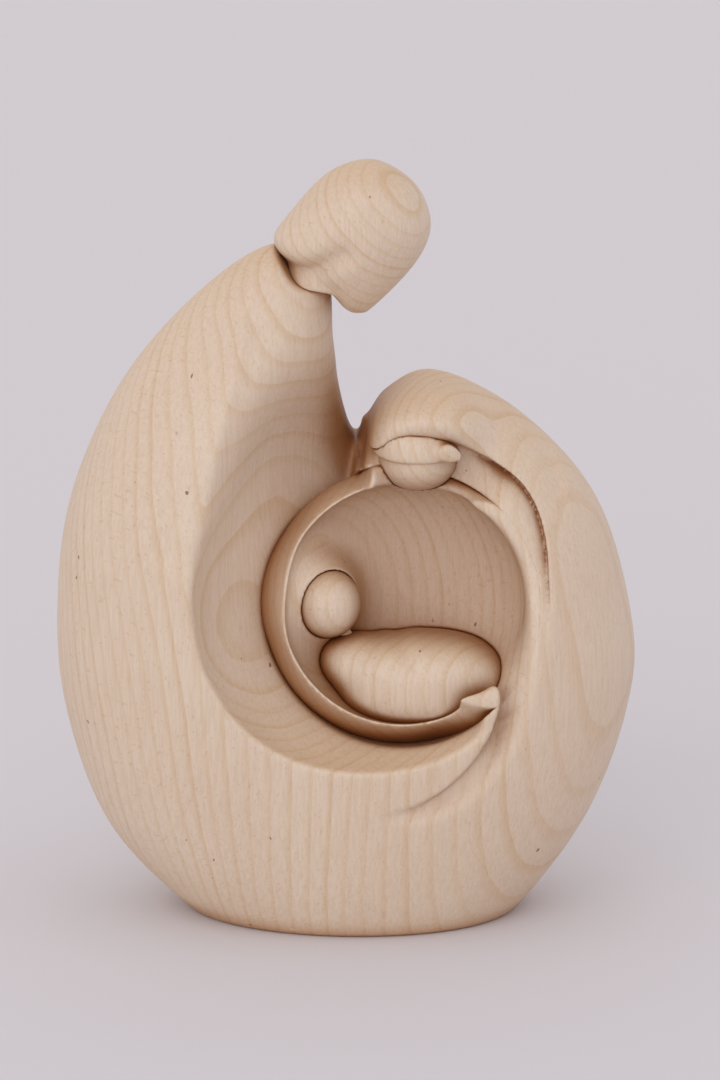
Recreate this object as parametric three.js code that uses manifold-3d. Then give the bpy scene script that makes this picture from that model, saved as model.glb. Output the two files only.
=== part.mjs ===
// A carved family group: father, veiled mother and an infant in a bowl between them.
// Millimetres. X runs to the viewer's right, Y runs away from the front, Z is up.
// The origin is on the floor, under the middle of the block.
import * as THREE from 'three';
import { mergeVertices } from 'three/addons/utils/BufferGeometryUtils.js';
import Module from 'manifold-3d';

const wasm = await Module();
wasm.setup();

// Driving dimensions
const HALF_DEPTH = 43;            // the block's greatest thickness each way from its middle
const ROUNDING = 62;              // how far in from the outline the block keeps swelling
const TAPER_FROM = 100;           // the heights between which it thins towards the father's neck
const TAPER_TO = 172;
const DEPTH_LOST = 27;
const ROUNDING_LOST = 42;
const GAP = 0.3;                  // clearance between pieces that meet
const PIN_RADIUS = 3;             // the hidden dowels
const SMALL_PIN_RADIUS = 1.5;
const PIN_CHAMFER = 0.6;

// The block's outline from the front, as x and z of the points its closed curve runs through:
// up the father's back, over the neck, down the chest, over the mother's veil, down her back
const OUTLINE = [
  [-75, 82], [-70.8, 112], [-57.2, 141.8], [-37.2, 164.8], [-18, 177], [-5, 170], [-3, 152],
  [-1, 140], [4, 132], [10.5, 138.5], [23, 143.6], [45, 133], [65.4, 110], [75, 77], [73.8, 54],
  [63.8, 26], [46, 1], [28, -14], [4, -20], [-20, -14], [-43, 2], [-62.6, 24], [-73, 54],
];
const OUTLINE_CENTRE = new THREE.Vector3(-5, 0, 75);
const VEIL = { centre: [20.8, -8, 128], radii: [17, 21.5, 15.5] };

// The father's head: its own outline, over the crown and down the face to the chin
const HEAD_OUTLINE = [
  [-18.2, 179.4], [-15.7, 183.6], [-8.1, 192.6], [-2.2, 197.2], [5, 199.4], [10.5, 198.4],
  [17, 194.2], [21, 188], [21.8, 180.5], [17.4, 171.9], [7.3, 161.4], [3.5, 159.8], [0, 161],
  [-4.4, 165.6], [-12, 170], [-17, 174.5],
];
const HEAD_CENTRE = new THREE.Vector3(3, -3, 180);
const HEAD_HALF_DEPTH = 16.5;
const HEAD_ROUNDING = 17;
const NECK = { from: [-9, -2, 162], to: [-4, -2, 174], radius: 9 };
const COLLAR_HEIGHT = 166;        // where the neck stands on the chest

// The bowl opens towards the front, tipped a little upward
const BOWL_TILT = THREE.MathUtils.degToRad(-14);
const BOWL = { centre: [14.8, -25, 88], radii: [30.7, 17, 30.7], tilt: BOWL_TILT };
const RECESS = { centre: [14.5, -24, 87.2], radii: [36.6, 45, 36.6], tilt: BOWL_TILT };
const LIP_SHELL = { centre: [14.8, -6.7, 83.4], radii: [37, 36, 37], tilt: BOWL_TILT };
const LIP_END = 34;               // right of here the bowl fills its recess out to the front
const BOWL_WALL = 3;            // the least wood left between the infant and the recess
const PILLOW = { centre: [-8, -13, 87.5], radii: [11.5, 10, 12] };
const PILLOW_INSET = 1;           // how far the pillow stays inside the bowl's outer faces

// Scoops taken out of the front
const FACE_SPACE = { centre: [19, -34, 118], radii: [18, 17, 12.2] };
const SLEEVE = { centre: [6, -48, 93.3], radii: [46.6, 36, 46.6], fullness: 2.2 };
const CHEST = { centre: [14, -44, 120], radii: [46, 47, 43], lean: THREE.MathUtils.degToRad(8) };
const VEIL_SPACE = { centre: [30, -8, 114], radii: [28.5, 45, 34], fullness: 3 };
const NOTCH = { centre: [1.9, 0, 137], radii: [2.4, 70, 13.5], lean: THREE.MathUtils.degToRad(-4) };
const MANTLE_SPACE = { centre: [61, -30, 72], radii: [27, 40, 50] };
const DISH = { centre: [20, 0, 92.5], radii: [33, 80, 37.5], fullness: 2.4 };
const DISH_FOOT = 80;             // the step inside the mantle's crisp edge stops at this height
const DISH_DEPTH = 1.8;           // how far the surface steps down there
const MANTLE_EDGE = { centre: [21, -56, 80], radii: [43, 29, 58] };
const MANTLE_KEPT = { centre: [3.5, -36, 75], radii: [34, 30, 40] };
const MANTLE_STEP = 2;            // how far the mantle's edge drops to its bevel

const HAIR = { centre: [19, -10, 126.5], radii: [11.8, 15.8, 10.5] };
const HAIR_TAIL = [[26, -24.5, 128], [34, -25, 124.5], [41.5, -25, 117.5]];
const HAIR_TAIL_RADIUS = 2.2;
const FACE = { centre: [18.8, -11.5, 124.6], radii: [11, 14, 9.4] };

const CHILD_HEAD = { centre: [-4.2, -18.5, 86.5], radii: [8.3, 8.5, 8.9] };
const CHILD_BODY = {
  centre: [20, -18, 66.2], radii: [22.6, 15, 12.8], lean: THREE.MathUtils.degToRad(2), fullness: 2.4,
};
const CHILD_SHOULDER = { centre: [2, -18, 71], radii: [8.5, 9, 7.5] };

const Y_AXIS = new THREE.Vector3(0, 1, 0);

/** A closed solid made from a geometry's welded positions. */
function solidOf(geometry) {
  const bare = new THREE.BufferGeometry();
  bare.setAttribute('position', geometry.getAttribute('position'));
  bare.setIndex(geometry.getIndex());
  const welded = mergeVertices(bare, 1e-4);
  return new wasm.Manifold(new wasm.Mesh({
    numProp: 3,
    vertProperties: Float32Array.from(welded.getAttribute('position').array),
    triVerts: Uint32Array.from(welded.getIndex().array),
  }));
}

/** A named mesh made from a solid. */
function pieceOf(name, solid, material) {
  const { numProp, vertProperties, triVerts } = solid.getMesh();
  const positions = new Float32Array((vertProperties.length / numProp) * 3);
  for (let i = 0; i < positions.length / 3; i += 1) {
    positions.set(vertProperties.subarray(i * numProp, i * numProp + 3), i * 3);
  }
  const geometry = new THREE.BufferGeometry();
  geometry.setAttribute('position', new THREE.BufferAttribute(positions, 3));
  geometry.setIndex(new THREE.BufferAttribute(Uint32Array.from(triVerts), 1));
  geometry.computeVertexNormals();
  const mesh = new THREE.Mesh(geometry, material);
  mesh.name = name;
  return mesh;
}

/** Satin-sanded pale maple. */
function maple() {
  const material = new THREE.MeshStandardMaterial({ color: 0xd9bc98, roughness: 0.55, metalness: 0 });
  material.name = 'maple';
  return material;
}

/** Plain beech, for the dowels. */
function beech() {
  const material = new THREE.MeshStandardMaterial({ color: 0xc79f74, roughness: 0.7, metalness: 0 });
  material.name = 'beech';
  return material;
}

/** An ellipsoid, fuller than round where asked, leant about Y or tilted about X. */
function ellipsoid(form, extra = 0, around = 30, rings = 16) {
  const { centre, radii, lean = 0, tilt = 0, fullness = 2 } = form;
  const ball = new THREE.SphereGeometry(1, around, rings);
  const position = ball.getAttribute('position');
  for (let i = 0; i < position.count; i += 1) {
    const at = [position.getX(i), position.getY(i), position.getZ(i)];
    const norm = at.reduce((sum, value) => sum + Math.abs(value) ** fullness, 0) ** (1 / fullness);
    position.setXYZ(i, ...at.map((value) => value / norm));
  }
  ball.scale(...radii.map((radius) => radius + extra));
  ball.rotateX(tilt);
  ball.rotateY(lean);
  ball.translate(...centre);
  return solidOf(ball);
}

/** How thick a swollen form is at a place: it rises away from its outline like a worn pebble. */
function halfThickness(place, outline, halfDepth, rounding) {
  let nearness = 0;
  for (let i = 1; i < outline.length; i += 1) {
    const step = outline[i].distanceTo(outline[i - 1]);
    nearness += step / Math.max(place.distanceTo(outline[i]), 0.5) ** 3;
  }
  const inward = Math.sqrt(2 / nearness);
  const short = 1 - Math.min(inward / rounding, 1);
  return halfDepth * Math.sqrt(1 - short * short);
}

/** A ball drawn out to a closed outline round a centre, and swollen front and back. */
function swollen(points, centre, depthAt, roundingAt, extra, around, rings) {
  const rim = points.map(([x, z]) => {
    const place = new THREE.Vector3(x, centre.y, z);
    const outward = place.clone().sub(centre).setLength(extra);
    return place.add(outward);
  });
  const curve = new THREE.CatmullRomCurve3(rim, true);
  const outline = curve.getSpacedPoints(around);
  const fine = curve.getSpacedPoints(around * 6);
  const ball = new THREE.SphereGeometry(1, around, rings);
  const position = ball.getAttribute('position');
  const place = new THREE.Vector3();
  for (let i = 0; i < position.count; i += 1) {
    const reach = Math.hypot(position.getX(i), position.getZ(i));
    const side = position.getY(i);
    const onRim = Math.abs(side) < 1e-6;
    place.lerpVectors(centre, outline[i % (around + 1)], reach);
    const depth = depthAt(place.z) + extra;
    const thick = onRim ? 0 : Math.sign(side) * halfThickness(place, fine, depth, roundingAt(place.z));
    position.setXYZ(i, place.x, centre.y + thick, place.z);
  }
  return solidOf(ball);
}

/** How far up the thinning stretch towards the father's neck a height is, from 0 to 1. */
function upward(z) {
  return THREE.MathUtils.smoothstep(z, TAPER_FROM, TAPER_TO);
}

/** The block's swollen form before carving, or the same form thinner by an inset. */
function pebble(inset = 0) {
  const depthAt = (z) => HALF_DEPTH - DEPTH_LOST * upward(z) - inset;
  const roundingAt = (z) => ROUNDING - ROUNDING_LOST * upward(z);
  return swollen(OUTLINE, OUTLINE_CENTRE, depthAt, roundingAt, 0, 64, 20);
}

/** The block's outside with the veil's round top and the steps inside the mantle's edge. */
function mantleForm() {
  const front = box(new THREE.Vector3(-90, -90, DISH_FOOT), new THREE.Vector3(90, 0, 150));
  const step = ellipsoid(DISH, 0, 40, 20)
    .intersect(front)
    .subtract(pebble(DISH_DEPTH));
  const bevel = ellipsoid(MANTLE_EDGE, 0, 40, 20)
    .subtract(ellipsoid(MANTLE_KEPT, 0, 40, 20))
    .subtract(pebble(MANTLE_STEP));
  return pebble()
    .add(ellipsoid(VEIL))
    .subtract(bevel)
    .subtract(step);
}

/** A plain block of space, from one corner to the other. */
function box(from, to) {
  const size = to.clone().sub(from);
  const geometry = new THREE.BoxGeometry(size.x, size.y, size.z);
  const middle = from.clone().add(to).multiplyScalar(0.5);
  geometry.translate(middle.x, middle.y, middle.z);
  return solidOf(geometry);
}

/** A dowel with chamfered ends. */
function dowel(from, to, radius) {
  const length = from.distanceTo(to);
  const profile = [
    new THREE.Vector2(0, 0),
    new THREE.Vector2(radius - PIN_CHAMFER, 0),
    new THREE.Vector2(radius, PIN_CHAMFER),
    new THREE.Vector2(radius, length - PIN_CHAMFER),
    new THREE.Vector2(radius - PIN_CHAMFER, length),
    new THREE.Vector2(0, length),
  ];
  const geometry = new THREE.LatheGeometry(profile, 16);
  const along = to.clone().sub(from).normalize();
  geometry.applyQuaternion(new THREE.Quaternion().setFromUnitVectors(Y_AXIS, along));
  geometry.translate(from.x, from.y, from.z);
  return solidOf(geometry);
}

/** The round hole a dowel sits in, with clearance at its sides and ends. */
function socket(from, to, radius) {
  const along = to.clone().sub(from).normalize().multiplyScalar(GAP);
  return dowel(from.clone().sub(along), to.clone().add(along), radius + GAP);
}

// The dowels, each from its end in the larger piece to its end in the smaller one
const PINS = {
  father_neck_dowel: { from: [-14, -1, 158], to: [-2, -3, 180], radius: PIN_RADIUS },
  mother_head_dowel: { from: [27, -2, 139], to: [20, -13, 124], radius: SMALL_PIN_RADIUS },
  cradle_dowel_left: { from: [2, 29, 80], to: [3, 6, 80.5], radius: PIN_RADIUS },
  cradle_dowel_right: { from: [28, 29, 92], to: [27, 6, 91.5], radius: PIN_RADIUS },
  child_body_dowel: { from: [18, 6, 67], to: [18, -12, 66], radius: SMALL_PIN_RADIUS },
  child_head_dowel: { from: [5, -17, 70], to: [-3, -18, 84], radius: SMALL_PIN_RADIUS },
};

function endsOf({ from, to, radius }) {
  return [new THREE.Vector3(...from), new THREE.Vector3(...to), radius];
}

/** A solid with the sockets of some of the dowels bored into it. */
function bored(solid, ...names) {
  return names.reduce((rest, name) => rest.subtract(socket(...endsOf(PINS[name]))), solid);
}

/** A round-ended rod. */
function rod(from, to, radius) {
  const start = new THREE.Vector3(...from);
  const end = new THREE.Vector3(...to);
  const geometry = new THREE.CapsuleGeometry(radius, start.distanceTo(end), 4, 12);
  const along = end.clone().sub(start).normalize();
  geometry.applyQuaternion(new THREE.Quaternion().setFromUnitVectors(Y_AXIS, along));
  const middle = start.add(end).multiplyScalar(0.5);
  geometry.translate(middle.x, middle.y, middle.z);
  return solidOf(geometry);
}

/** The father's head, with the neck that stands on the collar. */
function fatherHeadForm(extra = 0) {
  const head = swollen(HEAD_OUTLINE, HEAD_CENTRE, () => HEAD_HALF_DEPTH, () => HEAD_ROUNDING,
    extra, 32, 14);
  const corner = new THREE.Vector3(30, 40, COLLAR_HEIGHT - extra);
  const belowCollar = box(new THREE.Vector3(-60, -40, 100), corner);
  const neck = rod(NECK.from, NECK.to, NECK.radius + extra).subtract(belowCollar);
  return head.add(neck);
}

/** The mother's face, and her hair with its loose end, mostly tucked under the veil. */
function motherHeadForm(extra = 0) {
  const [root, bend, tip] = HAIR_TAIL;
  return ellipsoid(HAIR, extra, 22, 12)
    .add(ellipsoid(FACE, extra, 22, 12))
    .add(rod(root, bend, HAIR_TAIL_RADIUS + extra))
    .add(rod(bend, tip, HAIR_TAIL_RADIUS + extra));
}

function childHeadForm(extra = 0) {
  return ellipsoid(CHILD_HEAD, extra, 20, 10);
}

/** The swaddled body, one round shoulder raised to meet the head. */
function childBodyForm(extra = 0) {
  return ellipsoid(CHILD_BODY, extra, 28, 14)
    .add(ellipsoid(CHILD_SHOULDER, extra, 20, 10))
    .intersect(ellipsoid(RECESS, extra - BOWL_WALL, 28, 14));
}

/** What is carved from the father's chest and round the bowl, short of the veil and the mantle. */
function scoop() {
  return ellipsoid(CHEST, 0, 40, 20)
    .add(ellipsoid(SLEEVE, 0, 40, 20))
    .subtract(ellipsoid(VEIL_SPACE))
    .subtract(ellipsoid(MANTLE_SPACE));
}

/** Father's cloak, foot, mother's mantle and veil, carved as one. */
function bodyBlock() {
  const belowFloor = box(new THREE.Vector3(-90, -60, -60), new THREE.Vector3(90, 60, 0));
  const carved = mantleForm()
    .subtract(belowFloor)
    .subtract(ellipsoid(NOTCH))
    .subtract(scoop())
    .subtract(ellipsoid(FACE_SPACE))
    .subtract(ellipsoid(RECESS, 0, 32, 16))
    .subtract(fatherHeadForm(GAP))
    .subtract(motherHeadForm(GAP));
  return bored(carved, 'father_neck_dowel', 'mother_head_dowel', 'cradle_dowel_left',
    'cradle_dowel_right');
}

/** The outside of the bowl: a thin lip in front on the left, and full depth behind. */
function lipShell() {
  const [radius] = LIP_SHELL.radii;
  const length = 80;
  const behind = new THREE.CylinderGeometry(radius, radius, length, 32);
  behind.translate(0, length / 2, 0);
  behind.rotateX(LIP_SHELL.tilt);
  behind.translate(...LIP_SHELL.centre);
  const rightSide = box(new THREE.Vector3(LIP_END, -60, 30), new THREE.Vector3(80, 60, 150));
  return ellipsoid(LIP_SHELL, 0, 32, 16).add(solidOf(behind)).add(rightSide);
}

/** The inner bowl: it fills the recess behind, and stands clear of it as a thin lip in front. */
function cradleBowl() {
  const pillow = ellipsoid(PILLOW, 0, 20, 10)
    .intersect(ellipsoid(LIP_SHELL, -PILLOW_INSET, 24, 12))
    .intersect(ellipsoid(RECESS, -PILLOW_INSET, 24, 12));
  const wall = ellipsoid(RECESS, -GAP, 32, 16)
    .intersect(lipShell())
    .intersect(mantleForm())
    .subtract(ellipsoid(BOWL, 0, 32, 14))
    .add(pillow);
  const bowl = wall
    .subtract(ellipsoid(FACE_SPACE))
    .subtract(motherHeadForm(GAP))
    .subtract(childHeadForm(GAP))
    .subtract(childBodyForm(GAP));
  return bored(bowl, 'cradle_dowel_left', 'cradle_dowel_right', 'child_body_dowel');
}

function childBody() {
  const body = childBodyForm().subtract(childHeadForm(GAP));
  return bored(body, 'child_body_dowel', 'child_head_dowel');
}

const solids = {
  body_block: bodyBlock(),
  father_head: bored(fatherHeadForm(), 'father_neck_dowel'),
  mother_head: bored(motherHeadForm(), 'mother_head_dowel'),
  cradle_bowl: cradleBowl(),
  child_body: childBody(),
  child_head: bored(childHeadForm(), 'child_head_dowel'),
};
for (const [name, ends] of Object.entries(PINS)) {
  solids[name] = dowel(...endsOf(ends));
}

const group = new THREE.Group();
for (const [name, solid] of Object.entries(solids)) {
  const isPin = name in PINS;
  group.add(pieceOf(name, solid, isPin ? beech() : maple()));
}

export default group;
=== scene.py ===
"""A carved family group in pale maple: father, veiled mother, and an infant in a bowl between them.

Every visible piece is carved from smooth distance fields, in millimetres, and meshed with OpenVDB.
X runs to the viewer's right, Y away from the front, Z up. The wood is one solid grain for them all.
"""

import math

import bpy
import numpy as np
import openvdb
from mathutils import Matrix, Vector


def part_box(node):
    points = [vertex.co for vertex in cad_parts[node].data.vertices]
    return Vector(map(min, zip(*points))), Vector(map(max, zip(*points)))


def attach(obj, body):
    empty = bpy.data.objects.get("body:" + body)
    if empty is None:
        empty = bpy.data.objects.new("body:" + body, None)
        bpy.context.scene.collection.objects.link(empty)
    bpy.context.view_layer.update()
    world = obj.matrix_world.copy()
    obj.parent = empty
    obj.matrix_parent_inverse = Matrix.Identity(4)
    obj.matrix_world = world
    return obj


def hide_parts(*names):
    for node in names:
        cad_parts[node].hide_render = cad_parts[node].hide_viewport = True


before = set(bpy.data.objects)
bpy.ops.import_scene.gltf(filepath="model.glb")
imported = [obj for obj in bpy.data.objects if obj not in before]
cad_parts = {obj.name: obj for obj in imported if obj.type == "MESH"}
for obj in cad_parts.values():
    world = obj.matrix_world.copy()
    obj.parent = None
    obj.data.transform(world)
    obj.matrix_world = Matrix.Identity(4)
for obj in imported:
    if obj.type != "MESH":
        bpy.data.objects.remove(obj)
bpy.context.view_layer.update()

MM = 0.001
HAIRLINE = 0.05             # how far apart two pieces stand where they meet

# How far an edge or a valley is rounded
SHARP, CRISP, MILD, SOFT, BROAD = 0.8, 1.0, 2.0, 3.0, 4.0

FRONT_FADE = (4, -8)        # marks on the front fade out between these depths

# The block, seen from the front: the points its closed outline runs through, as x and z
OUTLINE = (
    (-75, 82), (-70.8, 112), (-57.2, 141.8), (-37.2, 164.8), (-18, 177), (-5, 170), (-3, 152),
    (-1, 140), (4, 132), (10.5, 138.5), (23, 143.6), (45, 133), (65.4, 110), (75, 77), (73.8, 54),
    (63.8, 26), (46, 1), (28, -14), (4, -20), (-20, -14), (-43, 2), (-62.6, 24), (-73, 54),
)
HALF_DEPTH = 43.0           # the block's greatest thickness each way from its middle
ROUNDING = 62.0             # how far in from the outline it keeps swelling
TAPER_FROM, TAPER_TO = 100.0, 172.0
DEPTH_LOST, ROUNDING_LOST = 27.0, 42.0      # how much of each goes towards the father's neck

BOWL_TILT = math.radians(-14)   # the bowl faces a little upward


# ---------------------------------------------------------------- distance fields

def soft_min(a, b, k):
    """The union of two fields, blended over k."""
    h = np.clip(0.5 + 0.5 * (b - a) / k, 0, 1)
    return b + (a - b) * h - k * h * (1 - h)


def soft_max(a, b, k):
    """The overlap of two fields, blended over k."""
    return -soft_min(-a, -b, k)


def carve(a, b, k):
    """What is left of a when b is cut from it, with an edge rounded over k."""
    return soft_max(a, -b, k)


def smooth_step(low, high, value):
    """0 up to low and 1 from high on, eased between them; low may also be the larger of the two."""
    t = np.clip((value - low) / (high - low), 0, 1)
    return t * t * (3 - 2 * t)


def turned(p, centre, x_angle=0.0, y_angle=0.0):
    """The places p in the axes of a form at centre, turned about Y and then about X."""
    x, y, z = (p[i] - centre[i] for i in range(3))
    c, s = math.cos(y_angle), math.sin(y_angle)
    x, z = c * x - s * z, s * x + c * z
    c, s = math.cos(x_angle), math.sin(x_angle)
    y, z = c * y + s * z, -s * y + c * z
    return x, y, z


def ellipsoid(p, centre, radii, x_angle=0.0, y_angle=0.0, fullness=2.0):
    """Distance to an ellipsoid, squarer than round where fullness is over 2."""
    x, y, z = turned(p, centre, x_angle, y_angle)
    a, b, c = radii
    k0 = (np.abs(x / a) ** fullness + np.abs(y / b) ** fullness + np.abs(z / c) ** fullness)
    k0 = k0 ** (1 / fullness)
    k1 = np.sqrt((x / a ** 2) ** 2 + (y / b ** 2) ** 2 + (z / c ** 2) ** 2) + 1e-6
    return k0 * (k0 - 1) / k1


def capsule(p, start, end, radius):
    """Distance to a round-ended rod."""
    start, end = np.array(start, float), np.array(end, float)
    axis = end - start
    q = [p[i] - start[i] for i in range(3)]
    t = np.clip(sum(q[i] * axis[i] for i in range(3)) / (axis @ axis), 0, 1)
    return np.sqrt(sum((q[i] - t * axis[i]) ** 2 for i in range(3))) - radius


def plane(p, point, normal):
    """Distance in front of a plane: negative behind it."""
    normal = np.array(normal, float) / np.linalg.norm(normal)
    return sum((p[i] - point[i]) * normal[i] for i in range(3))


# ---------------------------------------------------------------- the block's form

def closed_curve(points, per_span=10):
    """A closed Catmull-Rom curve through the points."""
    points = np.array(points, float)
    before, after, beyond = (np.roll(points, shift, 0) for shift in (1, -1, -2))
    t = np.linspace(0, 1, per_span, endpoint=False)[:, None, None]
    curve = (2 * points + (after - before) * t
             + (2 * before - 5 * points + 4 * after - beyond) * t ** 2
             + (3 * points - before - 3 * after + beyond) * t ** 3) / 2
    return curve.transpose(1, 0, 2).reshape(-1, 2)


def inward_distance(x, z, outline):
    """A smooth distance in from the outline, negative outside it, for columns x and z.

    Each side of the outline adds its own share of 1 / distance^3, summed exactly along the side.
    """
    x, z = x.astype(np.float64), z.astype(np.float64)
    nearness = 0.0
    inside = np.zeros(np.broadcast_shapes(x.shape, z.shape), bool)
    for (ax, az), (bx, bz) in zip(outline, np.roll(outline, -1, 0)):
        length = math.hypot(bx - ax, bz - az)
        along_x, along_z = (bx - ax) / length, (bz - az) / length
        start = (ax - x) * along_x + (az - z) * along_z
        end = start + length
        off = (ax - x) * along_z - (az - z) * along_x
        off = off ** 2 + 1e-4
        nearness = nearness + (end / np.sqrt(end ** 2 + off) - start / np.sqrt(start ** 2 + off)) / off
        if az != bz:
            inside ^= ((az > z) != (bz > z)) & (x < (bx - ax) * (z - az) / (bz - az) + ax)
    return (np.where(inside, 1, -1) * np.sqrt(2 / nearness)).astype(np.float32)


def swollen(p, points, half_depth, rounding, middle=0.0):
    """A worn pebble: it swells front and back from a closed outline through the points."""
    x, y, z = p
    short = np.maximum(1 - inward_distance(x, z, closed_curve(points)) / rounding, 0)
    across = (y - middle) / half_depth
    reach = np.sqrt(short ** 2 + across ** 2) + 1e-4
    slope = np.sqrt((short / rounding) ** 2 + (across / half_depth) ** 2) + 2e-3
    return (reach - 1) * reach / slope


def furrow(p, points, width):
    """How near the front's places are to a run of points in x and z: 1 on it, fading to 0."""
    x, y, z = p
    near = np.full(np.broadcast_shapes(x.shape, z.shape), 1e6, np.float32)
    for (ax, az), (bx, bz) in zip(points[:-1], points[1:]):
        along = ((x - ax) * (bx - ax) + (z - az) * (bz - az)) / ((bx - ax) ** 2 + (bz - az) ** 2)
        along = np.clip(along, 0, 1)
        near = np.minimum(near, (x - ax - along * (bx - ax)) ** 2 + (z - az - along * (bz - az)) ** 2)
    return np.exp(-near / width ** 2) * smooth_step(*FRONT_FADE, y)


# ---------------------------------------------------------------- the pieces' forms

# The bowl and the recess it is glued into
RECESS = dict(centre=(14.5, -24, 87.2), radii=(36.6, 45, 36.6), x_angle=BOWL_TILT)
BOWL = dict(centre=(14.8, -25, 88), radii=(30.7, 17, 30.7), x_angle=BOWL_TILT)
CRADLE_SHELL = dict(centre=(14.8, -6.7, 83.4), radii=(37, 36, 37), x_angle=BOWL_TILT)
BOWL_WALL = 3.0             # the least wood left between the infant and the recess
PILLOW = dict(centre=(-8, -13, 87.5), radii=(11.5, 11, 12))
PILLOW_INSET = 1.0
PILLOW_BLEND = 8.0
GROOVE_END = (22, 44)       # across this stretch the groove round the lip closes up,
GROOVE_LEVEL = 75           # and above this height it closes further left the higher it is
GROOVE_SLANT = 0.45
GROOVE_FILLING = (6, 18)    # how much the lip's outside is filled out there, low down and more higher up
GROOVE_FILLING_RISE = (60, 80)
RIM_EDGE = 1.0              # how softly the rim is rounded at its left, and how much more at its right
RIM_SOFTENING = 8.0
RIM_SOFT_ACROSS = (26, 44)
RIM_SOFT_RISE = (56, 76)
FLUSH = (0.3, 1.2)          # how far the bowl's glued seam is filled, at its left and at its right
SEAM_EDGE = (1.2, 0.2)      # how far the edge of the recess is rounded, at its left and at its right
LIP_EDGE = (1.1, 0.2)       # the same for the lip's front

# The scoops in the front, and what they stay clear of
CHEST = dict(centre=(14, -44, 120), radii=(46, 47, 43), y_angle=math.radians(8))
SLEEVE = dict(centre=(6, -48, 93.3), radii=(46.6, 36, 46.6), fullness=2.2)
SCOOP_BLEND = 10.0
SCOOP_EDGE = (1.5, 8)       # how softly the scoops meet the flank: low down, and more towards the neck
SCOOP_EDGE_RISE = (92, 125)
FACE_SPACE = dict(centre=(19, -34, 118), radii=(18, 17, 12.2))
FACE_SPACE_BLEND = 5.0
VEIL_SPACE = dict(centre=(30, -8, 114), radii=(28.5, 45, 34), fullness=3)
MANTLE_SPACE = dict(centre=(61, -30, 72), radii=(27, 40, 50))

# The mother's veil and mantle
VEIL = dict(centre=(20.8, -8, 128), radii=(17.6, 21.5, 15.5))
VEIL_BLEND = 4.0
NOTCH = dict(centre=(1.9, 0, 137), radii=(2.4, 70, 13.5), y_angle=math.radians(-4))
NOTCH_EDGE = 2.0
DISH = dict(centre=(20, 0, 91.5), radii=(32, 300, 35.3), fullness=2.8)
DISH_DEPTH = 1.8            # how far the surface steps down inside the mantle's crisp edge
DISH_RISE = (78, 104)       # the step fades in between these heights
DISH_FRONT = (0, -10)
HAIR_SEAT = 1.6             # how much deeper it is behind the mother's hair
HAIR_SEAT_ACROSS = (46, 38)
HAIR_SEAT_RISE = (114, 122)
MANTLE_EDGE = dict(centre=(21, -56, 80), radii=(43, 29, 58))
MANTLE_KEPT = dict(centre=(5, -36, 75), radii=(36.5, 30, 40))
MANTLE_DEPTH = (1.5, 4.5)   # how deep the crescent fold is at its foot, and how much deeper higher up
MANTLE_RISE = (42, 72)
MANTLE_ROUNDING = 1.5

# The folds on the father's shoulder
SHOULDER_VALLEY = ((-33, 154), (-36.5, 143), (-39, 131), (-41.6, 115), (-44, 103))
VALLEY_DEPTH, VALLEY_WIDTH = 1.0, 4.5
SHOULDER_RIDGE = ((-25.5, 158), (-29.4, 143), (-32.2, 128), (-34.9, 115), (-36, 107))
RIDGE_HEIGHT, RIDGE_WIDTH = 0.6, 2.0

HEAD_OUTLINE = (
    (-18.2, 179.4), (-15.7, 183.6), (-8.1, 192.6), (-2.2, 197.2), (5, 199.4), (10.5, 198.4),
    (17, 194.2), (21, 188), (21.8, 180.5), (17.4, 171.9), (7.3, 161.4), (3.5, 159.8), (0, 161),
    (-4.4, 165.6), (-12, 170), (-17, 174.5),
)
HEAD_MIDDLE = -3.0
HEAD_HALF_DEPTH = 16.5
HEAD_ROUNDING = 17.0
FACE = ((8, -18.7, 176), (0.35, -0.78, -0.52))
HAIR_EDGE_DEPTH, HAIR_EDGE_WIDTH = 1.6, 3.0
HAIR_EDGE = ((-20, 174.5), (-12.5, 171.5), (-8.5, 172), (-4, 175), (-0.5, 177))
NECK = ((-9, -2, 160), (-4, -2, 174), 9.0)
COLLAR_SIDE = ((-16.5, -13, 173), (0.86, -0.1, 0.5))
COLLAR_FRONT = ((-10, -14, 166.5), (0.15, -0.1, 0.98))
COLLAR_EDGE = 1.2

HEM_STEP = 1.2              # how far the hair lies behind the veil's front
HAIR = dict(centre=(18.6, -10, 126.5), radii=(12.2, 16.6, 11), fullness=2.3)
HAIR_TAIL = ((26, -26, 128), (34, -27.5, 124.5), (41.5, -27.5, 117.5))
HAIR_TAIL_RADIUS = 2.2
HAIR_LEVEL = 125.0          # the hair's lower edge over the face
HAIR_FALL_LEFT = (14, 0.02)     # where that edge starts to turn, and how fast
HAIR_FALL_RIGHT = (30, 0.09)
FACE_UNDER_VEIL = dict(centre=(18.8, -11.5, 124.6), radii=(11, 14, 9.4))

HEAD_GAP = 0.1              # how far the infant's head stands from what it rests in
BODY_SEAT_EDGE = 0.6        # how far the bowl's edge against the infant's body is rounded
CHILD_HEAD = dict(centre=(-4.2, -18.5, 86.5), radii=(8.3, 8.5, 8.9))
CHILD_BODY = dict(centre=(20, -18, 66.2), radii=(22.6, 15, 12.8), y_angle=math.radians(2),
                  fullness=2.4)
CHILD_FOLD = ((13.5, 78), (16, 75), (19, 72))
FOLD_DEPTH, FOLD_WIDTH = 0.5, 2.5
CHILD_SHOULDER = dict(centre=(2, -18, 71), radii=(8.5, 9, 7.5))


def shroud(p):
    """The block before carving, thinner towards the father's neck, with the veil's round top."""
    upward = smooth_step(TAPER_FROM, TAPER_TO, p[2])
    field = swollen(p, OUTLINE, HALF_DEPTH - DEPTH_LOST * upward, ROUNDING - ROUNDING_LOST * upward)
    return soft_min(field, ellipsoid(p, **VEIL), VEIL_BLEND)


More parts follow.
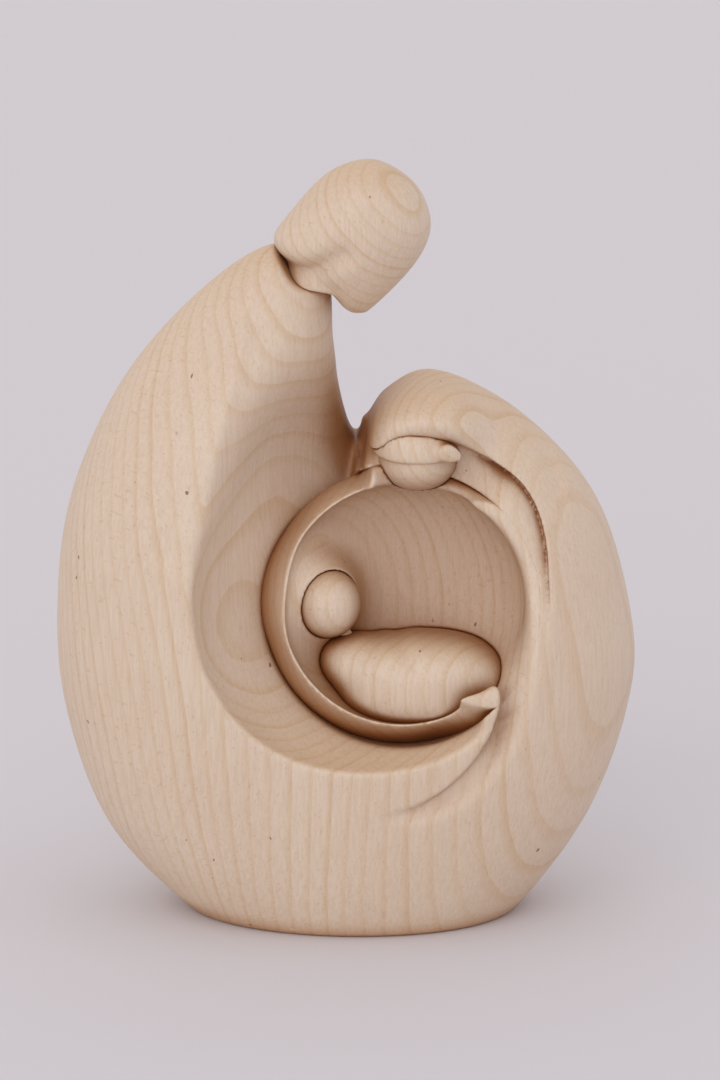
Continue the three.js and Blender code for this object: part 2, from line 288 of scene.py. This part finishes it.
def dish_depth(p):
    """How far the surface steps down inside the mantle's crisp edge: deepest behind the hair."""
    step = DISH_DEPTH * smooth_step(*DISH_RISE, p[2])
    seat = HAIR_SEAT * smooth_step(*HAIR_SEAT_ACROSS, p[0]) * smooth_step(*HAIR_SEAT_RISE, p[2])
    return (step + seat) * smooth_step(*DISH_FRONT, p[1])


def pebble(p):
    """The block's outside, with the steps inside the mantle's edge."""
    field = shroud(p)
    fold = carve(ellipsoid(p, **MANTLE_EDGE), ellipsoid(p, **MANTLE_KEPT), SOFT)
    foot_depth, more = MANTLE_DEPTH
    depth = foot_depth + more * smooth_step(*MANTLE_RISE, p[2])
    field = soft_max(field, np.minimum(-fold, field + depth), MANTLE_ROUNDING)
    return soft_max(field, np.minimum(-ellipsoid(p, **DISH), field + dish_depth(p)), SHARP)


def father_head_form(p):
    """The father's head and neck."""
    head = swollen(p, HEAD_OUTLINE, HEAD_HALF_DEPTH, HEAD_ROUNDING, HEAD_MIDDLE)
    head = soft_max(head, plane(p, *FACE), BROAD)
    head = head + HAIR_EDGE_DEPTH * furrow(p, HAIR_EDGE, HAIR_EDGE_WIDTH)
    neck = soft_max(capsule(p, *NECK), -plane(p, *COLLAR_FRONT), CRISP)
    return soft_min(head, neck, MILD)


def hair_edge(x):
    """The height of the hair's lower edge: level over the face, turning at both ends."""
    left, left_rate = HAIR_FALL_LEFT
    right, right_rate = HAIR_FALL_RIGHT
    return (HAIR_LEVEL + left_rate * np.minimum(x - left, 0) ** 2
            - right_rate * np.maximum(x - right, 0) ** 2)


def mother_head_form(p):
    """The mother's face and the hair under her veil."""
    root, bend, tip = HAIR_TAIL
    upper_tail = capsule(p, root, bend, HAIR_TAIL_RADIUS)
    lower_tail = capsule(p, bend, tip, HAIR_TAIL_RADIUS)
    hair = soft_min(ellipsoid(p, **HAIR), soft_min(upper_tail, lower_tail, MILD), MILD)
    hair = soft_max(hair, hair_edge(p[0]) - p[2], CRISP)
    hair = soft_max(hair, shroud(p) + HEM_STEP, CRISP)
    return soft_min(hair, ellipsoid(p, **FACE_UNDER_VEIL), SHARP)


def groove_closed(p):
    """How far the groove round the bowl's lip has closed up: from 0 at its left to 1 at its right."""
    above = np.maximum(p[2] - GROOVE_LEVEL, 0)
    return smooth_step(*GROOVE_END, p[0] + GROOVE_SLANT * above)


def between(ends, amount):
    """A value part of the way from one end to the other."""
    start, end = ends
    return start + (end - start) * amount


def rim_softness(p):
    """How softly the bowl's rim is rounded: crisp along the lip, soft at its right and above."""
    above = groove_closed(p) * smooth_step(*RIM_SOFT_RISE, p[2])
    return RIM_EDGE + RIM_SOFTENING * np.maximum(above, smooth_step(*RIM_SOFT_ACROSS, p[0]))


def bowl_hollow(p):
    """The space inside the bowl and before the mother's face."""
    return soft_min(ellipsoid(p, **BOWL), ellipsoid(p, **FACE_SPACE), MILD)


def collar(p):
    """The open corner above the father's shoulder and chest where his neck stands."""
    return soft_max(-plane(p, *COLLAR_SIDE), -plane(p, *COLLAR_FRONT), SOFT)


def scoops(p):
    """What is carved from the father's chest, round the bowl and before the mother's face."""
    field = soft_min(ellipsoid(p, **CHEST), ellipsoid(p, **SLEEVE), SCOOP_BLEND)
    kept = soft_min(ellipsoid(p, **VEIL_SPACE), ellipsoid(p, **MANTLE_SPACE), BROAD)
    return soft_min(carve(field, kept, SOFT), ellipsoid(p, **FACE_SPACE), FACE_SPACE_BLEND)


def block_field(p):
    """Father's cloak, the foot, and the mother's mantle and veil."""
    field = carve(pebble(p), ellipsoid(p, **NOTCH), NOTCH_EDGE)
    field = field + VALLEY_DEPTH * furrow(p, SHOULDER_VALLEY, VALLEY_WIDTH)
    field = field - RIDGE_HEIGHT * furrow(p, SHOULDER_RIDGE, RIDGE_WIDTH)
    crisp, softer = SCOOP_EDGE
    field = carve(field, scoops(p), crisp + softer * smooth_step(*SCOOP_EDGE_RISE, p[2]))
    field = carve(field, collar(p), COLLAR_EDGE)
    field = soft_max(field, -bowl_hollow(p), rim_softness(p))
    closed = groove_closed(p)
    recess = ellipsoid(p, **RECESS) + between(FLUSH, closed)
    field = carve(field, recess, between(SEAM_EDGE, closed))
    return soft_max(field, -p[2], CRISP)


def father_head_field(p):
    """The father's head with its neck, cut where it meets the block."""
    return np.maximum(father_head_form(p), HAIRLINE - block_field(p))


def mother_head_field(p):
    """The mother's face and hair, cut where they meet the block."""
    return np.maximum(mother_head_form(p), HAIRLINE - block_field(p))


def lip_shell(p):
    """The outside of the bowl's lip, carried straight back behind its widest part."""
    x, y, z = turned(p, CRADLE_SHELL["centre"], CRADLE_SHELL["x_angle"])
    return ellipsoid((x, np.minimum(y, 0), z), (0, 0, 0), CRADLE_SHELL["radii"])


def cradle_field(p):
    """The bowl: it fills the recess behind, and stands clear of it in front as a thin lip."""
    closed = groove_closed(p)
    low, more = GROOVE_FILLING
    filling = low + more * smooth_step(*GROOVE_FILLING_RISE, p[2])
    field = soft_max(ellipsoid(p, **RECESS), lip_shell(p) - filling * closed, CRISP)
    field = soft_max(field, pebble(p), between(LIP_EDGE, closed))
    field = soft_max(field, -bowl_hollow(p), rim_softness(p))
    pillow = soft_max(ellipsoid(p, **PILLOW), lip_shell(p) + PILLOW_INSET, CRISP)
    field = soft_min(field, pillow, PILLOW_BLEND)
    field = np.maximum(field, HAIRLINE - mother_head_form(p))
    field = soft_max(field, HAIRLINE - child_body_field(p), BODY_SEAT_EDGE)
    return soft_max(field, HEAD_GAP - child_head_field(p), SHARP)


def child_head_field(p):
    """The infant's plain round head."""
    return ellipsoid(p, **CHILD_HEAD)


def child_body_field(p):
    """The swaddled infant, one shoulder raised to its head, with a shallow fold."""
    body = soft_min(ellipsoid(p, **CHILD_BODY), ellipsoid(p, **CHILD_SHOULDER), SOFT)
    body = body + FOLD_DEPTH * furrow(p, CHILD_FOLD, FOLD_WIDTH)
    body = soft_max(body, ellipsoid(p, **RECESS) + BOWL_WALL, CRISP)
    return soft_max(body, HEAD_GAP - child_head_field(p), SHARP)


# ---------------------------------------------------------------- meshing

ADAPTIVITY = 0.004          # how readily flat stretches share larger faces
BAND = 3.0                  # how many cells each side of the surface the distances are kept
MARGIN = 6.0                # how far past its node's box a piece is looked for
BLOCK_CELL, HEAD_CELL, BOWL_CELL = 0.55, 0.5, 0.4


def field_mesh(name, field, low, high, cell):
    """A mesh of a field's surface between two corners, in cells of one size, all in millimetres."""
    counts = [int(math.ceil((high[i] - low[i]) / cell)) + 1 for i in range(3)]
    axes = [low[i] + cell * np.arange(counts[i], dtype=np.float32) for i in range(3)]
    p = (axes[0][:, None, None], axes[1][None, :, None], axes[2][None, None, :])
    values = np.clip(field(p) / cell, -BAND, BAND).astype(np.float32)
    grid = openvdb.FloatGrid(BAND)
    grid.copyFromArray(np.ascontiguousarray(values))
    points, triangles, quads = grid.convertToPolygons(0.0, ADAPTIVITY)
    points = points * cell + np.array(low, np.float32)
    mesh = bpy.data.meshes.new(name)
    faces = quads[:, ::-1].tolist() + triangles[:, ::-1].tolist()
    mesh.from_pydata((points * MM).tolist(), [], faces)
    mesh.validate()
    mesh.polygons.foreach_set("use_smooth", [True] * len(mesh.polygons))
    mesh.update()
    return mesh


def piece(name, node_name, field, cell, wood):
    """One carved piece, standing for a CAD node and meshed in that node's box."""
    low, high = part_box(node_name)
    low = [value / MM - MARGIN for value in low]
    high = [value / MM + MARGIN for value in high]
    obj = bpy.data.objects.new(name, field_mesh(name, field, low, high, cell))
    obj.data.materials.append(wood)
    bpy.context.scene.collection.objects.link(obj)
    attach(obj, "root")
    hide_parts(node_name)


# ---------------------------------------------------------------- materials

GRAIN_NORMAL = (0.74, -0.67)    # which way the annual rings face, in x and y
PITH_DISTANCE = 140.0           # how far behind the block's middle the tree's centre was
RING_SPACING = 3.4
TRUNK_BEND_HEIGHT = 55.0        # the height the trunk bulges at, and how tightly it bends there
TRUNK_BEND_RADIUS = 180.0
LATE_GROWTH = (0.55, 0.94)      # the part of a year over which its line darkens
LATE_END = (1.0, 0.95)          # and where the line ends
FAINTEST_YEAR = 0.45
WANDER, WANDER_SCALE = 9.0, (0.016, 0.016, 0.008)   # how far rings stray, and how fast per mm
RIPPLE, RIPPLE_SCALE = 1.0, (0.1, 0.1, 0.03)

# Colours are linear; each shade multiplies the colour under it
MAPLE = (0.745, 0.61, 0.48)
BLOTCH_SHADE = (0.97, 0.945, 0.93)
RING_SHADE = (0.93, 0.86, 0.75)
FIBRE_SHADE = (0.94, 0.91, 0.88)
FINE_SHADE = (0.94, 0.92, 0.89)
FLECK_SHADE = (0.93, 0.88, 0.82)
END_GRAIN_SHADE = (0.95, 0.88, 0.78)
# painted shade: the darker, warmer colour multiplied in where a hollow shuts out the light
HOLLOW_PAINTED_SHADE = (0.48, 0.27, 0.13)
# painted shade and warm inter-reflection in crevices, together with the burnish that gathers in them
CREVICE_SHADE_AND_BURNISH = (0.72, 0.50, 0.33)
SPECK_SHADE = (0.42, 0.30, 0.20)
BEECH = (0.60, 0.38, 0.23)
BEECH_FLECK_SHADE = (0.7, 0.6, 0.5)
BEECH_FIBRE_SHADE = (0.88, 0.84, 0.8)

ROUGHNESS, ROUGHNESS_SPREAD = 0.46, 0.12
RELIEF_DEPTH = 0.12 * MM
# how far the ambient occlusion looks for the painted shade in hollows
HOLLOW_SHADE_REACH = 45 * MM      # how far across a hollow is felt
# how far the ambient occlusion looks for the crevices' painted shade
CREVICE_SHADE_REACH = 7 * MM
OPEN_HOLLOW, INNER_HOLLOW = 0.4, 0.25   # how shut in a place is where its hollow's shade is full


def node(tree, kind, values, **settings):
    """A shader node with its settings made and its inputs set or linked."""
    made = tree.nodes.new(kind)
    for name, value in settings.items():
        setattr(made, name, value)
    for key, value in values.items():
        if isinstance(value, bpy.types.NodeSocket):
            tree.links.new(value, made.inputs[key])
        else:
            made.inputs[key].default_value = value
    return made


def maths(tree, operation, *values):
    """The result of a sum on numbers."""
    return node(tree, "ShaderNodeMath", dict(enumerate(values)), operation=operation).outputs[0]


def vector_maths(tree, operation, *values, out="Vector"):
    """The result of a sum on vectors."""
    made = node(tree, "ShaderNodeVectorMath", dict(enumerate(values)), operation=operation)
    return made.outputs[out]


def ramp(tree, value, low, high, to_low=0.0, to_high=1.0):
    """A value eased from one range into another."""
    values = {"Value": value, "From Min": low, "From Max": high, "To Min": to_low, "To Max": to_high}
    return node(tree, "ShaderNodeMapRange", values, interpolation_type="SMOOTHSTEP").outputs[0]


def openness(tree, reach, samples, alone=False):
    """How open a place is, from 0 in a deep crevice to 1 in the clear."""
    made = node(tree, "ShaderNodeAmbientOcclusion", {"Distance": reach}, samples=samples,
                only_local=alone)
    return made.outputs["AO"]


def noise(tree, place, scale, detail=2.0):
    """Noise between 0 and 1 at a place, with its own scale along each axis, per millimetre."""
    stretched = vector_maths(tree, "MULTIPLY", place, scale)
    made = node(tree, "ShaderNodeTexNoise", {"Vector": stretched, "Scale": 1.0, "Detail": detail})
    return made.outputs[0]


def shaded(tree, colour, amount, shade):
    """A colour multiplied by a shade, by an amount between 0 and 1."""
    made = tree.nodes.new("ShaderNodeMix")
    made.data_type = "RGBA"
    made.blend_type = "MULTIPLY"
    tree.links.new(amount, made.inputs[0])
    made.inputs[7].default_value = (*shade, 1)
    if isinstance(colour, bpy.types.NodeSocket):
        tree.links.new(colour, made.inputs[6])
    else:
        made.inputs[6].default_value = (*colour, 1)
    return made.outputs[2]


def place_in_mm(tree):
    """The place on the object in millimetres: the same for all pieces, so their grain runs on."""
    coordinates = tree.nodes.new("ShaderNodeTexCoord").outputs["Object"]
    return vector_maths(tree, "MULTIPLY", coordinates, (1 / MM, 1 / MM, 1 / MM))


def ring_count(tree, place):
    """How many rings out from the tree's centre a place is, with the growth's slow wandering."""
    pith = (-GRAIN_NORMAL[0] * PITH_DISTANCE, -GRAIN_NORMAL[1] * PITH_DISTANCE, 0)
    level = vector_maths(tree, "MULTIPLY", vector_maths(tree, "SUBTRACT", place, pith), (1, 1, 0))
    radius = vector_maths(tree, "LENGTH", level, out="Value")
    height = node(tree, "ShaderNodeSeparateXYZ", {0: place}).outputs["Z"]
    above = maths(tree, "SUBTRACT", height, TRUNK_BEND_HEIGHT)
    bend = maths(tree, "DIVIDE", maths(tree, "MULTIPLY", above, above), 2 * TRUNK_BEND_RADIUS)
    wander = maths(tree, "MULTIPLY", noise(tree, place, WANDER_SCALE, 1.0), WANDER)
    ripple = maths(tree, "MULTIPLY", noise(tree, place, RIPPLE_SCALE, 1.0), RIPPLE)
    grown = maths(tree, "ADD", maths(tree, "ADD", radius, bend), maths(tree, "ADD", wander, ripple))
    return maths(tree, "DIVIDE", grown, RING_SPACING)


def ring_lines(tree, count):
    """The thin late growth: soft on its inner side, sharp on its outer, stronger in some years."""
    part = maths(tree, "FRACT", count)
    line = maths(tree, "MULTIPLY", ramp(tree, part, *LATE_GROWTH), ramp(tree, part, *LATE_END))
    year = node(tree, "ShaderNodeTexWhiteNoise", {"W": maths(tree, "FLOOR", count)},
                noise_dimensions="1D").outputs[0]
    return maths(tree, "MULTIPLY", line, ramp(tree, year, 0.0, 1.0, FAINTEST_YEAR, 1.0))


def turned_to_grain(tree, place):
    """A place in the wood's own axes: across the rings, along the rings, up the trunk."""
    angle = -math.atan2(GRAIN_NORMAL[1], GRAIN_NORMAL[0])
    values = {"Vector": place, "Angle": angle}
    return node(tree, "ShaderNodeVectorRotate", values, rotation_type="Z_AXIS").outputs[0]


def end_grain(tree):
    """How squarely the surface faces up or down, where it cuts across the fibres."""
    normal = tree.nodes.new("ShaderNodeNewGeometry").outputs["Normal"]
    upright = node(tree, "ShaderNodeSeparateXYZ", {0: normal}).outputs["Z"]
    return ramp(tree, maths(tree, "ABSOLUTE", upright), 0.35, 1.0)


def new_wood(name):
    """An empty wood material, with its node tree, its shader and the place in millimetres."""
    material = bpy.data.materials.new(name)
    material.use_nodes = True
    tree = material.node_tree
    return material, tree, tree.nodes["Principled BSDF"], place_in_mm(tree)


def roughen(tree, shader, relief, strength, depth):
    """A faint bump over the shader, of a depth in metres."""
    values = {"Strength": strength, "Distance": depth, "Height": relief}
    bump = node(tree, "ShaderNodeBump", values)
    tree.links.new(bump.outputs[0], shader.inputs["Normal"])


def maple(name, alone):
    """Pale satin-sanded maple: faint rings, fine fibres, ray flecks and a few dark specks.

    Its hollows are painted with shade, darker and warmer where they are shut in: those of the piece
    alone, or also those that its neighbours make. Its crevices are painted with shade and warm
    inter-reflection as well, which also stands for the burnish gathered there.
    """
    material, tree, shader, place = new_wood(name)
    grain = turned_to_grain(tree, place)
    lines = ring_lines(tree, ring_count(tree, place))
    fibres = noise(tree, grain, (1.3, 1.3, 0.05), 3.0)
    fine = noise(tree, grain, (4.5, 4.5, 0.25), 2.0)
    flecks = noise(tree, grain, (0.35, 2.6, 0.9), 1.0)
    blotches = noise(tree, place, (0.03, 0.03, 0.018), 2.0)
    specks = noise(tree, place, (0.55, 0.55, 0.35), 0.0)
    # ambient occlusion that sets how much painted shade a hollow gets
    hollow = openness(tree, HOLLOW_SHADE_REACH, 8, alone)
    shut_in = OPEN_HOLLOW if alone else INNER_HOLLOW
    # ambient occlusion over a short reach, for the crevices' painted shade and burnish
    crevice = openness(tree, CREVICE_SHADE_REACH, 6)

    colour = shaded(tree, MAPLE, ramp(tree, blotches, 0.3, 0.7), BLOTCH_SHADE)
    colour = shaded(tree, colour, lines, RING_SHADE)
    colour = shaded(tree, colour, ramp(tree, fibres, 0.3, 0.75), FIBRE_SHADE)
    colour = shaded(tree, colour, ramp(tree, fine, 0.35, 0.8), FINE_SHADE)
    colour = shaded(tree, colour, ramp(tree, flecks, 0.62, 0.74), FLECK_SHADE)
    colour = shaded(tree, colour, end_grain(tree), END_GRAIN_SHADE)
    # painted shade in the hollows, deepest where they are most shut in
    colour = shaded(tree, colour, ramp(tree, hollow, 1.0, shut_in), HOLLOW_PAINTED_SHADE)
    # painted shade and burnish in the crevices
    colour = shaded(tree, colour, ramp(tree, crevice, 0.8, 0.1), CREVICE_SHADE_AND_BURNISH)
    colour = shaded(tree, colour, ramp(tree, specks, 0.88, 0.90), SPECK_SHADE)
    tree.links.new(colour, shader.inputs["Base Color"])

    roughness = maths(tree, "ADD", maths(tree, "MULTIPLY", fine, ROUGHNESS_SPREAD), ROUGHNESS)
    tree.links.new(roughness, shader.inputs["Roughness"])
    coarse_part = maths(tree, "MULTIPLY", fibres, 0.6)
    fine_part = maths(tree, "MULTIPLY", fine, 0.4)
    roughen(tree, shader, maths(tree, "ADD", coarse_part, fine_part), 0.25, RELIEF_DEPTH)
    return material


def beech():
    """Turned beech for the hidden dowels: pinkish, with short dark flecks along the grain."""
    material, tree, shader, place = new_wood("beech")
    flecks = noise(tree, place, (3.0, 3.0, 0.5), 1.0)
    fibres = noise(tree, place, (5.0, 5.0, 0.3), 2.0)
    colour = shaded(tree, BEECH, ramp(tree, flecks, 0.55, 0.7), BEECH_FLECK_SHADE)
    colour = shaded(tree, colour, ramp(tree, fibres, 0.3, 0.8), BEECH_FIBRE_SHADE)
    tree.links.new(colour, shader.inputs["Base Color"])
    shader.inputs["Roughness"].default_value = 0.7
    roughen(tree, shader, fibres, 0.3, 0.1 * MM)
    return material


# ---------------------------------------------------------------- stage, light and camera

PAPER = (0.70, 0.67, 0.69, 1)
FLOOR_SIZE = 40.0                   # metres, so that it runs out of sight
SKY = (0.97, 0.945, 0.975, 1)
SKY_STRENGTH = 0.84
KEY_POWER, KEY_SPREAD = 0.78, 60
KEY_DIRECTION = (0.38, 0.9, -0.34)
CAMERA_ELEVATION = math.radians(14)
CAMERA_DISTANCE = 1.4
CAMERA_TARGET = (0.0039, 0, 0.0987)
CAMERA_SPAN = 0.2809                # how much the frame's longer side takes in at the target
SENSOR = 36.0


def stage():
    """A pale paper floor that runs out of sight."""
    bpy.ops.mesh.primitive_plane_add(size=FLOOR_SIZE)
    floor = bpy.context.object
    floor.name = "floor"
    material = bpy.data.materials.new("paper")
    material.use_nodes = True
    shader = material.node_tree.nodes["Principled BSDF"]
    shader.inputs["Base Color"].default_value = PAPER
    shader.inputs["Roughness"].default_value = 0.95
    floor.data.materials.append(material)


def key_light():
    """A soft distant lamp from the front and the upper left."""
    data = bpy.data.lights.new("key", "SUN")
    data.energy = KEY_POWER
    data.angle = math.radians(KEY_SPREAD)
    obj = bpy.data.objects.new("key", data)
    obj.rotation_euler = Vector(KEY_DIRECTION).to_track_quat("-Z", "Y").to_euler()
    bpy.context.scene.collection.objects.link(obj)


def sky():
    """Even pale light from all round."""
    world = bpy.data.worlds.new("world")
    bpy.context.scene.world = world
    world.use_nodes = True
    background = world.node_tree.nodes["Background"]
    background.inputs["Color"].default_value = SKY
    background.inputs["Strength"].default_value = SKY_STRENGTH
    bpy.context.scene.view_settings.view_transform = "Standard"


def camera():
    """A long lens straight before the object, looking a little down at it."""
    data = bpy.data.cameras.new("camera")
    data.sensor_width = SENSOR
    data.lens = SENSOR * CAMERA_DISTANCE / CAMERA_SPAN
    back = np.array((0, -math.cos(CAMERA_ELEVATION), math.sin(CAMERA_ELEVATION)))
    obj = bpy.data.objects.new("camera", data)
    obj.location = np.array(CAMERA_TARGET) + CAMERA_DISTANCE * back
    obj.rotation_euler = (math.pi / 2 - CAMERA_ELEVATION, 0, 0)
    bpy.context.scene.collection.objects.link(obj)
    bpy.context.scene.camera = obj


# ---------------------------------------------------------------- the whole object

DOWELS = (
    "father_neck_dowel", "mother_head_dowel", "cradle_dowel_left", "cradle_dowel_right",
    "child_body_dowel", "child_head_dowel",
)


def carved_pieces():
    """The six carved pieces, each in place of its plain CAD node."""
    open_wood = maple("maple", True)
    inner_wood = maple("maple_within", False)
    piece("block", "body_block", block_field, BLOCK_CELL, open_wood)
    piece("father_head_carved", "father_head", father_head_field, HEAD_CELL, open_wood)
    piece("mother_head_carved", "mother_head", mother_head_field, HEAD_CELL, inner_wood)
    piece("cradle", "cradle_bowl", cradle_field, BOWL_CELL, inner_wood)
    piece("infant_body", "child_body", child_body_field, BOWL_CELL, inner_wood)
    piece("infant_head", "child_head", child_head_field, BOWL_CELL, inner_wood)


def dowels():
    """The hidden dowels keep their CAD shape and take the look of beech."""
    wood = beech()
    for name in DOWELS:
        bpy.data.objects[name].material_slots[0].material = wood


carved_pieces()
dowels()
stage()
key_light()
sky()
camera()
